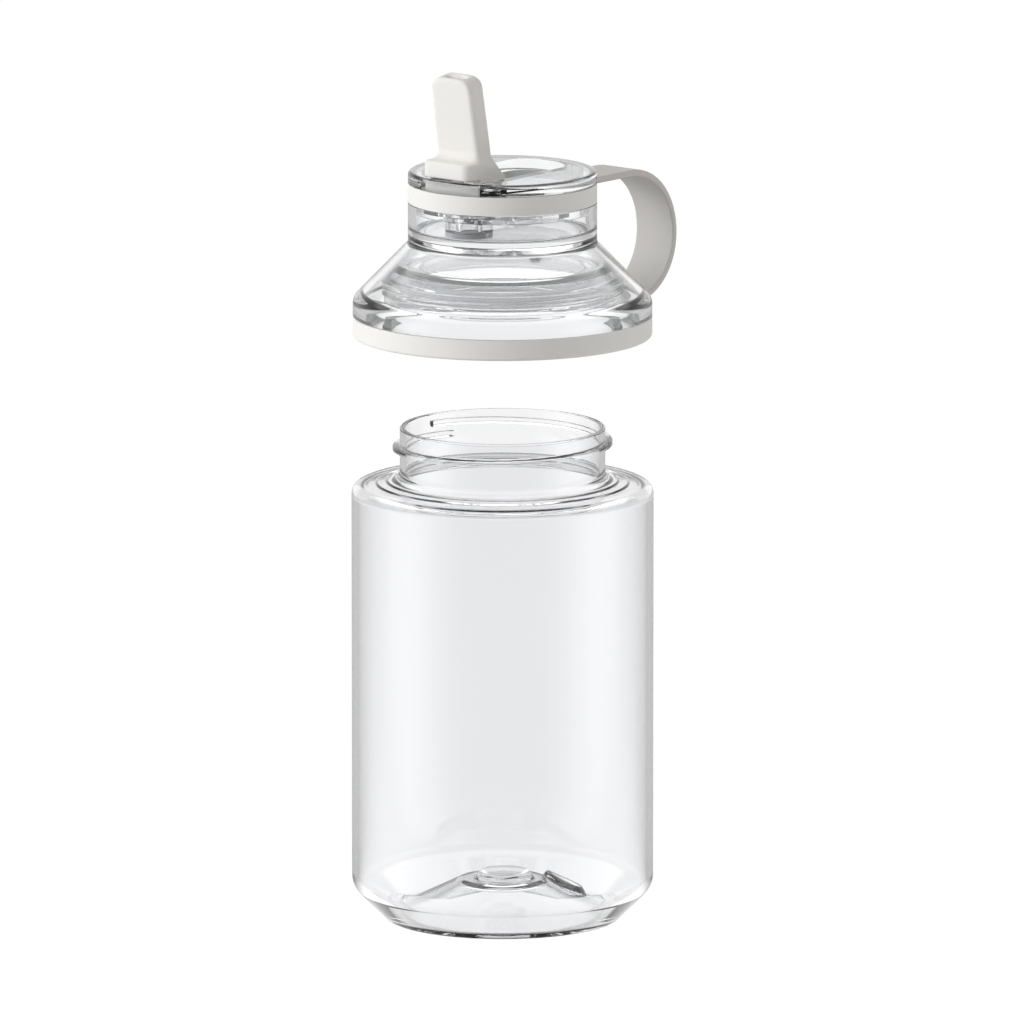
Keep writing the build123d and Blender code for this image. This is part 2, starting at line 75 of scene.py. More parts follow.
# ---------------------------------------------------------------- floor and light
# A white sweep and sky that glow by themselves, as for goods in a catalogue. What
# plastic mirrors has its own levels, bright at both sides and dark in front and
# behind, and what white parts scatter is dimmer, so that the soft boxes shape them.
floor_radius = 4.0
floor_points = 96
floor_below = 0.0002           # the bottle's foot stands this far above it
floor_seen, floor_in_scatter = 0.97, 0.52
sky_seen, sky_in_scatter = 1.0, 0.37
low_sky_top, high_sky_from = 0.05, 0.35    # heights between which they merge
set_front = (sin(camera_azimuth), -cos(camera_azimuth), 0)


def stops(nodes, levels):
    """A ramp through pairs of place and brightness."""
    ramp = nodes.new("ShaderNodeValToRGB")
    elements = ramp.color_ramp.elements
    elements.remove(elements[1])
    elements[0].position, elements[0].color = levels[0][0], (levels[0][1],) * 3 + (1,)
    for place, level in levels[1:]:
        elements.new(place).color = (level, level, level, 1)
    return ramp


def chosen(nodes, links, depth, when_some, when_none):
    """One of two brightnesses, by whether the ray has had this kind of bounce."""
    ray = nodes.new("ShaderNodeLightPath")
    some = nodes.new("ShaderNodeMath")
    some.operation = "GREATER_THAN"
    some.inputs[1].default_value = 0.5
    links.new(ray.outputs[depth], some.inputs[0])
    choice = nodes.new("ShaderNodeMix")
    links.new(some.outputs[0], choice.inputs["Factor"])
    for socket, level in ((choice.inputs["B"], when_some), (choice.inputs["A"], when_none)):
        if isinstance(level, float):
            socket.default_value = level
        else:
            links.new(level, socket)
    return choice.outputs["Result"]


def round_the_set(nodes, links, direction, levels):
    """A brightness by how far round from the front of the set a direction is."""
    flat = nodes.new("ShaderNodeVectorMath")
    flat.operation = "MULTIPLY"
    flat.inputs[1].default_value = (1, 1, 0)
    links.new(direction, flat.inputs[0])
    unit = nodes.new("ShaderNodeVectorMath")
    unit.operation = "NORMALIZE"
    links.new(flat.outputs[0], unit.inputs[0])
    front = nodes.new("ShaderNodeVectorMath")
    front.operation = "DOT_PRODUCT"
    front.inputs[1].default_value = set_front
    links.new(unit.outputs[0], front.inputs[0])
    share = nodes.new("ShaderNodeMath")
    share.operation = "MULTIPLY_ADD"
    share.inputs[1].default_value = 0.5
    share.inputs[2].default_value = 0.5
    links.new(front.outputs["Value"], share.inputs[0])
    ramp = stops(nodes, levels)
    links.new(share.outputs[0], ramp.inputs["Fac"])
    return ramp.outputs["Color"]


# Levels that mirrored rays meet, from behind the set (0) to its front (1).
round_levels = [
    (0.0, 0.58), (0.24, 0.50), (0.37, 0.92), (0.48, 1.25),
    (0.66, 1.25), (0.84, 0.55), (0.92, 0.34), (1.0, 0.30),
]
low_sky_levels = [(0.0, 1.35), (0.4, 1.3), (0.72, 1.0), (0.9, 0.4), (1.0, 0.35)]
floor_mesh = bpy.data.meshes.new("floor")
floor_turns = [2 * pi * i / floor_points for i in range(floor_points)]
floor_ring = [(floor_radius * cos(a), floor_radius * sin(a), -floor_below) for a in floor_turns]
floor_mesh.from_pydata(floor_ring, [], [list(range(floor_points))])
floor = bpy.data.objects.new("floor", floor_mesh)
bpy.context.scene.collection.objects.link(floor)
floor_material = bpy.data.materials.new("white_sweep")
floor_material.use_nodes = True
nodes, links = floor_material.node_tree.nodes, floor_material.node_tree.links
nodes.clear()
floor_out = nodes.new("ShaderNodeOutputMaterial")
floor_sum = nodes.new("ShaderNodeAddShader")
floor_glow = nodes.new("ShaderNodeEmission")
floor_matt = nodes.new("ShaderNodeBsdfDiffuse")
floor_matt.inputs["Color"].default_value = (0.10, 0.10, 0.10, 1)
floor_place = nodes.new("ShaderNodeTexCoord")
mirrored = round_the_set(nodes, links, floor_place.outputs["Object"], round_levels)
floor_level = chosen(nodes, links, "Glossy Depth", mirrored, floor_seen)
floor_level = chosen(nodes, links, "Diffuse Depth", floor_in_scatter, floor_level)
links.new(floor_level, floor_glow.inputs["Strength"])
links.new(floor_glow.outputs[0], floor_sum.inputs[0])
links.new(floor_matt.outputs[0], floor_sum.inputs[1])
links.new(floor_sum.outputs[0], floor_out.inputs["Surface"])
floor_mesh.materials.append(floor_material)

world = bpy.data.worlds.new("studio")
bpy.context.scene.world = world
world.use_nodes = True
nodes, links = world.node_tree.nodes, world.node_tree.links
nodes.clear()
sky_out = nodes.new("ShaderNodeOutputWorld")
sky_glow = nodes.new("ShaderNodeBackground")
sky_direction = nodes.new("ShaderNodeTexCoord")
sky_split = nodes.new("ShaderNodeSeparateXYZ")
sky_ramp = stops(
    nodes, [(0.0, 1.0), (0.22, 0.95), (0.30, 0.85), (0.44, 0.75), (0.52, 2.2), (1.0, 2.6)]
)
links.new(sky_direction.outputs["Generated"], sky_split.inputs[0])
links.new(sky_split.outputs["Z"], sky_ramp.inputs["Fac"])
sky_low = nodes.new("ShaderNodeMapRange")
sky_low.inputs["From Min"].default_value = low_sky_top
sky_low.inputs["From Max"].default_value = high_sky_from
links.new(sky_split.outputs["Z"], sky_low.inputs["Value"])
sky_mirrored = nodes.new("ShaderNodeMix")
links.new(sky_low.outputs["Result"], sky_mirrored.inputs["Factor"])
low_sky = round_the_set(nodes, links, sky_direction.outputs["Generated"], low_sky_levels)
links.new(low_sky, sky_mirrored.inputs["A"])
links.new(sky_ramp.outputs["Color"], sky_mirrored.inputs["B"])
sky_level = chosen(nodes, links, "Transmission Depth", sky_ramp.outputs["Color"], sky_seen)
sky_level = chosen(nodes, links, "Glossy Depth", sky_mirrored.outputs["Result"], sky_level)
sky_level = chosen(nodes, links, "Diffuse Depth", sky_in_scatter, sky_level)
links.new(sky_level, sky_glow.inputs["Strength"])
links.new(sky_glow.outputs[0], sky_out.inputs["Surface"])

# The key soft box stands at the left of the spout; a weak one far round to the
# right lifts that edge, and a fainter one lies flat overhead. The plastic neither
# mirrors them nor shows them through itself.
boxes_aim = Vector((0, 0, 0.12))
for box_name, from_azimuth, from_elevation, away, width, tall, watts, colour in (
    ("key_box", -34, 22, 1.6, 0.8, 1.1, 19.0, (0.97, 0.985, 1.0)),
    ("edge_box", 118, 16, 1.6, 0.3, 1.0, 4.0, (1.0, 0.98, 0.96)),
    ("top_box", 40, 84, 1.5, 0.8, 0.8, 1.0, (1.0, 1.0, 1.0)),
):
    light_data = bpy.data.lights.new(box_name, "AREA")
    light_data.shape = "RECTANGLE"
    light_data.size, light_data.size_y = width, tall
    light_data.energy = watts
    light_data.color = colour
    light = bpy.data.objects.new(box_name, light_data)
    bpy.context.scene.collection.objects.link(light)
    turn, rise = radians(from_azimuth), radians(from_elevation)
    outward = Vector((sin(turn) * cos(rise), -cos(turn) * cos(rise), sin(rise)))
    light.location = boxes_aim + outward * away
    light.visible_glossy = light.visible_transmission = False
    light.rotation_mode = "QUATERNION"
    light.rotation_quaternion = outward.to_track_quat("Z", "Y")
bpy.context.scene.view_settings.view_transform = "Standard"

# ---------------------------------------------------------------- bottle
# Clear copolyester, blow-moulded in one piece: chamfered foot round a raised
# punt, straight body, nearly level shoulder, and a neck with one thread turned
# round it. It stands on a narrow ring.
mm = 0.001
turned_steps = 256             # points round every turned piece
arc_step = radians(11)         # how finely a rounded corner is divided
corner_support = 0.22 * mm     # a row this far beyond each corner keeps flats flat
corner_room = 3 * corner_support    # a flat shorter than this goes without


def rounded_outline(corners):
    """An outline of (radius, height) points from corners (radius, height, rounding)."""
    points = []
    for i, (x, y, rounding) in enumerate(corners):
        if rounding == 0:
            points.append((x, y))
            continue
        here = Vector((x, y))
        back = Vector(corners[i - 1][:2]) - here
        ahead = Vector(corners[i + 1][:2]) - here
        half = back.angle(ahead) / 2
        cut = rounding / tan(half)
        centre = here + (back.normalized() + ahead.normalized()).normalized() * (rounding / sin(half))
        first = here + back.normalized() * cut
        last = here + ahead.normalized() * cut
        turn = pi - 2 * half
        steps = max(2, ceil(turn / arc_step))
        side = 1 if back.cross(ahead) < 0 else -1
        spoke = first - centre
        if back.length - cut > corner_room:
            before = first + back.normalized() * corner_support
            points.append((before.x, before.y))
        for k in range(steps + 1):
            bend = side * turn * k / steps
            points.append(
                (
                    centre.x + spoke.x * cos(bend) - spoke.y * sin(bend),
                    centre.y + spoke.x * sin(bend) + spoke.y * cos(bend),
                )
            )
        if ahead.length - cut > corner_room:
            after = last + ahead.normalized() * corner_support
            points.append((after.x, after.y))
    return points


def fine_rows(points, radius, low, high, step):
    """The outline with extra points along the upright line at this radius."""
    result = []
    for a, b in zip(points, points[1:]):
        result.append(a)
        if abs(a[0] - radius) < 1e-7 and abs(b[0] - radius) < 1e-7:
            down = b[1] < a[1]
            rows = [low + step * k for k in range(int((high - low) / step) + 1)]
            inside = [z for z in rows if min(a[1], b[1]) + step / 2 < z < max(a[1], b[1]) - step / 2]
            result.extend((radius, z) for z in (reversed(inside) if down else inside))
    return result + [points[-1]]


def turned(name, points):
    """A mesh turned about the upright axis from (radius, height) points.

    The outline starts and ends on the axis.
    """
    verts, rows, faces = [], [], []
    for radius, height in points:
        if radius == 0:
            rows.append([len(verts)])
            verts.append((0, 0, height))
            continue
        rows.append(range(len(verts), len(verts) + turned_steps))
        for k in range(turned_steps):
            angle = 2 * pi * k / turned_steps
            verts.append((radius * cos(angle), radius * sin(angle), height))
    for low, high in zip(rows, rows[1:]):
        for k in range(turned_steps):
            n = (k + 1) % turned_steps
            if len(low) == 1:
                faces.append((low[0], high[n], high[k]))
            elif len(high) == 1:
                faces.append((low[k], low[n], high[0]))
            else:
                faces.append((low[k], low[n], high[n], high[k]))
    area = sum(a[0] * b[1] - b[0] * a[1] for a, b in zip(points, points[1:] + points[:1]))
    if area < 0:
        faces = [tuple(reversed(face)) for face in faces]
    mesh = bpy.data.meshes.new(name)
    mesh.from_pydata(verts, [], faces)
    mesh.shade_smooth()
    piece = bpy.data.objects.new(name, mesh)
    bpy.context.scene.collection.objects.link(piece)
    return piece


bottle_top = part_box("bottle")[1]
bottle_radius = bottle_top.x
rim_height = bottle_top.z
body_wall = 1.8 * mm
body_height = 116.9 * mm       # floor to the edge of the shoulder
shoulder_rise = 1.4 * mm       # from that edge up to the root of the neck
shoulder_steps = [             # (radius, height over that edge) round two low steps
    (33.6 * mm, 0.15 * mm), (33.2 * mm, 0.6 * mm), (30.9 * mm, 0.75 * mm), (30.5 * mm, 1.2 * mm),
]
seat_radius = 35.6 * mm
neck_radius = 27.2 * mm
neck_bore = 25.8 * mm
rim_rounding = 0.55 * mm
foot_outer, foot_inner = 31.2 * mm, 27.0 * mm
foot_chamfer = 9.1 * mm
punt_radius, punt_height = 10.8 * mm, 8.2 * mm
floor_thickness = 2.3 * mm
inside_chamfer = foot_chamfer + 0.6 * mm
inside_foot_outer, inside_foot_inner = foot_outer - 0.6 * mm, foot_inner + 0.8 * mm
inside_punt = punt_radius + 0.4 * mm
floor_rows = 0.5 * mm
hair = 0.001 * mm

bottle_outline = rounded_outline(
    [
        (0, punt_height, 0),
        (punt_radius, punt_height, 3.0 * mm),
        (foot_inner, 0, 1.5 * mm),
        (foot_outer, 0, 2.0 * mm),
        (bottle_radius, foot_chamfer, 6.0 * mm),
        (bottle_radius, body_height, 2.6 * mm),
        (seat_radius, body_height, 1.0 * mm),
        *[(radius, body_height + rise, 0.2 * mm) for radius, rise in shoulder_steps],
        (neck_radius, body_height + shoulder_rise, 2.6 * mm),
        (neck_radius, rim_height, rim_rounding),
        (neck_bore, rim_height, rim_rounding),
        (neck_bore, body_height + shoulder_rise - body_wall, 2.4 * mm),
        (bottle_radius - body_wall, body_height - body_wall, 1.6 * mm),
        (bottle_radius - body_wall, inside_chamfer, 5.0 * mm),
        (inside_foot_outer, floor_thickness, 1.6 * mm),
        (inside_foot_inner, floor_thickness, 1.6 * mm),
        (inside_punt, punt_height + floor_thickness, 3.0 * mm),
        (0, punt_height + floor_thickness, 0),
    ]
)


def closer_rows(points, first, step):
    """The outline with no two points further apart than a step, from the first-th on."""
    result = list(points[:first])
    for a, b in zip(points[first:], points[first + 1 :]):
        pieces = max(1, ceil(hypot(b[0] - a[0], b[1] - a[1]) / step))
        result += [
            (a[0] + (b[0] - a[0]) * k / pieces, a[1] + (b[1] - a[1]) * k / pieces) for k in range(pieces)
        ]
    return result + [points[-1]]


inside_floor = next(
    i
    for i, (radius, height) in enumerate(bottle_outline)
    if i > len(bottle_outline) / 2 and height < floor_thickness + hair
)
bottle_outline = closer_rows(bottle_outline, inside_floor, floor_rows)
thread_pitch = 3.2 * mm
thread_start = rim_height - 6.2 * mm
thread_turns = 376 / 360
thread_rows = 0.1 * mm
thread_margin = 1.2 * mm       # the fine rows go on this far past the thread
bottle = turned(
    "bottle_body",
    fine_rows(
        bottle_outline,
        neck_radius,
        thread_start - thread_margin,
        thread_start + thread_pitch * thread_turns + thread_margin,
        thread_rows,
    ),
)

# Two blisters stand on the floor inside, left by the blowing: one on the punt's
# top and a smaller one on its slope. Each is (right, behind, radius, height).
blisters = (
    (0.5 * mm, 0.0, 7.6 * mm, 2.1 * mm),
    (16.6 * mm, 3.0 * mm, 5.6 * mm, 1.9 * mm),
)
blister_edge = 0.35            # how much of each blister is its rounded edge
inside_highest = punt_height + floor_thickness + hair
inside_rings = len(bottle_outline) - 1 - inside_floor
first_inside = len(bottle.data.vertices) - inside_rings * turned_steps
for vertex in bottle.data.vertices:
    if vertex.index < first_inside or vertex.co.z > inside_highest:
        continue
    for right, behind, radius, height in blisters:
        across = vertex.co.x * cos(camera_azimuth) + vertex.co.y * sin(camera_azimuth) - right
        deep = vertex.co.y * cos(camera_azimuth) - vertex.co.x * sin(camera_azimuth) - behind
        off = hypot(across, deep) / radius
        if off < 1:
            vertex.co.z += height * min(1.0, (1 - off * off) / blister_edge) ** 0.5

# A thread is raised out of a turned piece's fine rows: a band that follows the
# helix, rounded across and blunt at its two ends. The lid's thread uses it too.
same_radius = 0.02 * mm        # rows this near the neck's radius are moved
whole_turns = 4.0              # added so that a turn is never below nought
thread_tree = bpy.data.node_groups.new("raised_thread", "GeometryNodeTree")
thread_face = thread_tree.interface
thread_face.new_socket(name="Geometry", in_out="INPUT", socket_type="NodeSocketGeometry")
thread_sizes = {}
for size_name in (
    "Neck Radius", "Ridge Height", "Pitch", "Start Height", "Start Turn", "Turns",
    "Half Width", "Flank", "End Run",
):
    thread_sizes[size_name] = thread_face.new_socket(
        name=size_name, in_out="INPUT", socket_type="NodeSocketFloat"
    ).identifier
thread_sizes["Material"] = thread_face.new_socket(
    name="Material", in_out="INPUT", socket_type="NodeSocketMaterial"
).identifier
thread_face.new_socket(name="Geometry", in_out="OUTPUT", socket_type="NodeSocketGeometry")


def math_node(tree, operation, *values):
    """The output of one math node whose inputs are sockets or numbers."""
    node = tree.nodes.new("ShaderNodeMath")
    node.operation = operation
    for socket, value in zip(node.inputs, values):
        if isinstance(value, (int, float)):
            socket.default_value = value
        else:
            tree.links.new(value, socket)
    return node.outputs[0]


def smooth_step(tree, value):
    """Nought to one along a soft S as the value goes from nought to one."""
    node = tree.nodes.new("ShaderNodeMapRange")
    node.interpolation_type = "SMOOTHSTEP"
    tree.links.new(value, node.inputs["Value"])
    return node.outputs["Result"]


given = thread_tree.nodes.new("NodeGroupInput")
place = thread_tree.nodes.new("GeometryNodeInputPosition")
place_parts = thread_tree.nodes.new("ShaderNodeSeparateXYZ")
thread_tree.links.new(place.outputs[0], place_parts.inputs[0])
x, y, z = place_parts.outputs
radial = math_node(thread_tree, "SQRT", math_node(
    thread_tree, "ADD", math_node(thread_tree, "MULTIPLY", x, x), math_node(thread_tree, "MULTIPLY", y, y)))
turn_here = math_node(thread_tree, "DIVIDE", math_node(thread_tree, "ARCTAN2", y, x), 2 * pi)
turn_from_start = math_node(thread_tree, "SUBTRACT", turn_here, given.outputs["Start Turn"])
turn_from_start = math_node(
    thread_tree, "FRACT", math_node(thread_tree, "ADD", turn_from_start, whole_turns))
ridge_share = None
for lap in (0.0, 1.0):
    along = math_node(thread_tree, "ADD", turn_from_start, lap)
    centre_height = math_node(
        thread_tree, "MULTIPLY_ADD", along, given.outputs["Pitch"], given.outputs["Start Height"])
    off = math_node(thread_tree, "ABSOLUTE", math_node(thread_tree, "SUBTRACT", z, centre_height))
    across = smooth_step(thread_tree, math_node(
        thread_tree, "DIVIDE", math_node(thread_tree, "SUBTRACT", given.outputs["Half Width"], off),
        given.outputs["Flank"]))
    rising = smooth_step(
        thread_tree, math_node(thread_tree, "DIVIDE", along, given.outputs["End Run"]))
    falling = smooth_step(thread_tree, math_node(
        thread_tree, "DIVIDE", math_node(thread_tree, "SUBTRACT", given.outputs["Turns"], along),
        given.outputs["End Run"]))
    share = math_node(
        thread_tree, "MULTIPLY", across, math_node(thread_tree, "MULTIPLY", rising, falling))
    ridge_share = share if ridge_share is None else math_node(thread_tree, "MAXIMUM", ridge_share, share)
on_neck = math_node(
    thread_tree, "COMPARE", radial, given.outputs["Neck Radius"], same_radius)
raise_by = math_node(
    thread_tree, "MULTIPLY", on_neck,
    math_node(thread_tree, "MULTIPLY", ridge_share, given.outputs["Ridge Height"]))
outwards = thread_tree.nodes.new("ShaderNodeCombineXYZ")
thread_tree.links.new(math_node(thread_tree, "DIVIDE", x, radial), outwards.inputs[0])
thread_tree.links.new(math_node(thread_tree, "DIVIDE", y, radial), outwards.inputs[1])
push = thread_tree.nodes.new("ShaderNodeVectorMath")
push.operation = "SCALE"
thread_tree.links.new(outwards.outputs[0], push.inputs[0])
thread_tree.links.new(raise_by, push.inputs["Scale"])
move = thread_tree.nodes.new("GeometryNodeSetPosition")
thread_tree.links.new(given.outputs["Geometry"], move.inputs["Geometry"])
thread_tree.links.new(push.outputs[0], move.inputs["Offset"])
whole = thread_tree.nodes.new("GeometryNodeRealizeInstances")
thread_tree.links.new(move.outputs[0], whole.inputs[0])
finish_with = thread_tree.nodes.new("GeometryNodeSetMaterial")
thread_tree.links.new(whole.outputs[0], finish_with.inputs["Geometry"])
thread_tree.links.new(given.outputs["Material"], finish_with.inputs["Material"])
result = thread_tree.nodes.new("NodeGroupOutput")
thread_tree.links.new(finish_with.outputs[0], result.inputs["Geometry"])


def made_plain(piece, tree, sizes, **values):
    """The piece with a node tree applied to it, as a plain mesh with no modifier."""
    modifier = piece.modifiers.new(tree.name, "NODES")
    modifier.node_group = tree
    for size_name, value in values.items():
        modifier[sizes[size_name.replace("_", " ")]] = value
    seen = piece.evaluated_get(bpy.context.evaluated_depsgraph_get())
    mesh = bpy.data.meshes.new_from_object(seen)
    mesh.name = piece.name
    piece.modifiers.clear()
    piece.data = mesh
    mesh.shade_smooth()
    return piece


def moulding_marks():
    """Shader group: the faint flow and handling marks in a moulded surface."""
    group = bpy.data.node_groups.new("moulding_marks", "ShaderNodeTree")
    face = group.interface
    for name, kind, default in (
        ("Tint", "NodeSocketColor", (1, 1, 1, 1)),
        ("Tint Change", "NodeSocketFloat", 0.02),
        ("Roughness", "NodeSocketFloat", 0.03),
        ("Roughness Change", "NodeSocketFloat", 0.02),
        ("Patch Scale", "NodeSocketFloat", 40.0),
        ("Grain Scale", "NodeSocketFloat", 1500.0),
        ("Grain Share", "NodeSocketFloat", 0.5),
    ):
        face.new_socket(name=name, in_out="INPUT", socket_type=kind).default_value = default
    face.new_socket(name="Color", in_out="OUTPUT", socket_type="NodeSocketColor")
    face.new_socket(name="Roughness", in_out="OUTPUT", socket_type="NodeSocketFloat")
    face.new_socket(name="Height", in_out="OUTPUT", socket_type="NodeSocketFloat")
    add, link = group.nodes.new, group.links.new
    given = add("NodeGroupInput")
    where = add("ShaderNodeTexCoord")
    patches = add("ShaderNodeTexNoise")
    patches.inputs["Detail"].default_value = 3
    grain = add("ShaderNodeTexNoise")
    grain.inputs["Detail"].default_value = 2
    link(where.outputs["Object"], patches.inputs["Vector"])
    link(where.outputs["Object"], grain.inputs["Vector"])
    link(given.outputs["Patch Scale"], patches.inputs["Scale"])
    link(given.outputs["Grain Scale"], grain.inputs["Scale"])
    darker = math_node(group, "SUBTRACT", 1.0, math_node(
        group, "MULTIPLY", patches.outputs["Fac"], given.outputs["Tint Change"]))
    tint = add("ShaderNodeVectorMath")
    tint.operation = "SCALE"
    link(given.outputs["Tint"], tint.inputs[0])
    link(darker, tint.inputs["Scale"])
    roughness = math_node(
        group, "MULTIPLY_ADD", patches.outputs["Fac"], given.outputs["Roughness Change"],
        given.outputs["Roughness"])
    height = add("ShaderNodeMix")
    link(given.outputs["Grain Share"], height.inputs["Factor"])
    link(patches.outputs["Fac"], height.inputs["A"])
    link(grain.outputs["Fac"], height.inputs["B"])
    out = add("NodeGroupOutput")
    link(tint.outputs[0], out.inputs["Color"])
    link(roughness, out.inputs["Roughness"])
    link(height.outputs["Result"], out.inputs["Height"])
    return group


marks = moulding_marks()


shade_through = (0.93, 0.94, 0.95, 1)


def plastic(name, tint, roughness, roughness_change, scales, grain_share, bump, sockets, clear=False):
    """A moulded plastic: the marks group feeding one Principled shader.

    The scales are those of the marks' patches and grain. A clear one casts a light shadow.
    """
    material = bpy.data.materials.new(name)
    material.use_nodes = True
    nodes, links = material.node_tree.nodes, material.node_tree.links
    nodes.clear()
    out = nodes.new("ShaderNodeOutputMaterial")
    shader = nodes.new("ShaderNodeBsdfPrincipled")
    look = nodes.new("ShaderNodeGroup")
    look.node_tree = marks
    look.inputs["Tint"].default_value = (*tint, 1)
    look.inputs["Roughness"].default_value = roughness
    look.inputs["Roughness Change"].default_value = roughness_change
    look.inputs["Patch Scale"].default_value, look.inputs["Grain Scale"].default_value = scales
    look.inputs["Grain Share"].default_value = grain_share
    bumps = nodes.new("ShaderNodeBump")
    bumps.inputs["Strength"].default_value = 1.0
    bumps.inputs["Distance"].default_value = bump
    links.new(look.outputs["Color"], shader.inputs["Base Color"])
    links.new(look.outputs["Roughness"], shader.inputs["Roughness"])
    links.new(look.outputs["Height"], bumps.inputs["Height"])
    links.new(bumps.outputs["Normal"], shader.inputs["Normal"])
    for socket, value in sockets.items():
        shader.inputs[socket].default_value = value
    if not clear:
        links.new(shader.outputs[0], out.inputs["Surface"])
        return material
    ray = nodes.new("ShaderNodeLightPath")
    through = nodes.new("ShaderNodeBsdfTransparent")
    through.inputs["Color"].default_value = shade_through
    either = nodes.new("ShaderNodeMixShader")
    links.new(ray.outputs["Is Shadow Ray"], either.inputs["Fac"])
    links.new(shader.outputs[0], either.inputs[1])
    links.new(through.outputs[0], either.inputs[2])
    links.new(either.outputs[0], out.inputs["Surface"])
    return material


def clear_plastic(name, tint, patch_scale):
    """A clear, polished plastic whose surface waves very slightly."""
    sockets = {"Transmission Weight": 1.0, "IOR": 1.52}
    return plastic(name, tint, 0.0, 0.01, (patch_scale, 900), 0.02, 0.02 * mm, sockets, clear=True)


clear_bottle = clear_plastic("clear_bottle", (0.938, 0.94, 0.947), 18)
made_plain(
    bottle,
    thread_tree,
    thread_sizes,
    Neck_Radius=neck_radius,
    Ridge_Height=1.9 * mm,
    Pitch=thread_pitch,
    Start_Height=thread_start,
    Start_Turn=159 / 360,
    Turns=thread_turns,
    Half_Width=0.9 * mm,
    Flank=0.4 * mm,
    End_Run=0.006,
    Material=clear_bottle,
)
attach(bottle, "bottle")
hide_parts("bottle")

# ---------------------------------------------------------------- lid shell
# Clear copolyester moulding: the cone with its tower, the floor between the two,
# and the spigot that the white base ring snaps over.
spigot_low = 0.5 * mm          # above the lid's lowest edge, as all the lid's heights
lid_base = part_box("lid_shell")[0].z - spigot_low
lid_radius = 39.6 * mm
cone_run = 0.966               # radius lost for each step up
cone_wall = 2.5 * mm
cone_top = 25.1 * mm
tower_radius, tower_inner = 25.0 * mm, 23.1 * mm
tower_top = 36.05 * mm
floor_low, floor_high = 26.9 * mm, 28.5 * mm
skirt_inner = 36.2 * mm
spigot_radius = 38.1 * mm
ring_height = 5.5 * mm
lid_tint, lid_patches = (0.982, 0.986, 0.992), 30


def lid_corners(*corners):
    """Corners in place, from heights above the lid's lowest edge and roundings in mm."""
    return [(radius, lid_base + height, rounding * mm) for radius, height, rounding in corners]


def cone_radius(height):
    """The cone's outer radius at a height above the lid's lowest edge."""
    return tower_radius + cone_run * (cone_top - height)


def cone_height(radius):
    """Where above the lid's lowest edge the cone has this outer radius."""
    return cone_top - (radius - tower_radius) / cone_run


shell_outline = rounded_outline(
    lid_corners(
        (0, floor_high, 0),
        (tower_inner, floor_high, 1.0),
        (tower_inner, tower_top, 0.3),
        (tower_radius, tower_top, 0.3),
        (tower_radius, cone_top, 1.2),
        (lid_radius, cone_height(lid_radius), 3.2),
        (lid_radius, ring_height, 0.3),
        (spigot_radius, ring_height, 0.3),
        (spigot_radius, spigot_low, 0.3),
        (skirt_inner, spigot_low, 0.3),
        (skirt_inner, cone_height(skirt_inner + cone_wall), 1.2),
        (cone_radius(floor_low) - cone_wall, floor_low, 0.8),
        (0, floor_low, 0),
    )
)
clear_lid = clear_plastic("clear_lid", lid_tint, lid_patches)
lid_shell = turned("lid_cone_and_tower", shell_outline)
lid_shell.data.materials.append(clear_lid)
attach(lid_shell, "lid")
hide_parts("lid_shell")

# ---------------------------------------------------------------- lid core
# A second clear moulding welded inside the first: the web over the neck, the
# plug that goes down into it and the threaded skirt outside it, which has three
# fine ribs round it.
web_low, web_high = 17.3 * mm, 19.1 * mm
core_radius, core_bore = 31.2 * mm, 29.6 * mm
plug_radius, plug_bore, plug_low = 24.7 * mm, 21.6 * mm, 10.0 * mm
flange_low, flange_high, flange_radius = 1.5 * mm, 2.9 * mm, 36.1 * mm
groove_low, groove_high, groove_radius = 10.35 * mm, 12.65 * mm, 23.5 * mm
inside_slope = (1.3 * mm, 1.7 * mm)     # across and down, between web and skirt
outside_slope = (3.5 * mm, 3.7 * mm)
rib_half, rib_radius = 0.35 * mm, 31.75 * mm
rib_heights = (11.6 * mm, 13.2 * mm, 14.8 * mm)
nut_start = lid_base + 8.19 * mm
nut_turns = 1.9

ribs = []
for rib_height in rib_heights:
    ribs += [
        (core_radius, rib_height - rib_half, 0.08),
        (rib_radius, rib_height - rib_half, 0.12),
        (rib_radius, rib_height + rib_half, 0.12),
        (core_radius, rib_height + rib_half, 0.08),
    ]
core_outline = rounded_outline(
    lid_corners(
        (0, web_low, 0),
        (plug_bore, web_low, 0.8),
        (plug_bore, plug_low, 0.5),
        (plug_radius, plug_low, 0.5),
        (plug_radius, groove_low, 0.1),
        (groove_radius, groove_low, 0.2),
        (groove_radius, groove_high, 0.2),
        (plug_radius, groove_high, 0.1),
        (plug_radius, web_low, 0.5),
        (core_bore - inside_slope[0], web_low, 0.5),
        (core_bore, web_low - inside_slope[1], 1.0),
        (core_bore, flange_low, 0.3),
        (flange_radius, flange_low, 0.3),
        (flange_radius, flange_high, 0.3),
        (core_radius, flange_high, 0.6),
        *ribs,
        (core_radius, web_high - outside_slope[1], 0.2),
        (core_radius - outside_slope[0], web_high, 1.0),
        (0, web_high, 0),
    )
)
clear_core = clear_plastic("clear_core", lid_tint, lid_patches)
core_outline = fine_rows(
    core_outline,
    core_bore,
    nut_start - thread_margin,
    nut_start + thread_pitch * nut_turns + thread_margin,
    thread_rows,
)
lid_core = turned("lid_web_and_thread", core_outline)
made_plain(
    lid_core,
    thread_tree,
    thread_sizes,
    Neck_Radius=core_bore,
    Ridge_Height=-1.4 * mm,
    Pitch=thread_pitch,
    Start_Height=nut_start,
    Start_Turn=0.5,
    Turns=nut_turns,
    Half_Width=0.7 * mm,
    Flank=0.25 * mm,
    End_Run=0.02,
    Material=clear_core,
)
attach(lid_core, "lid")
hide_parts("lid_core")

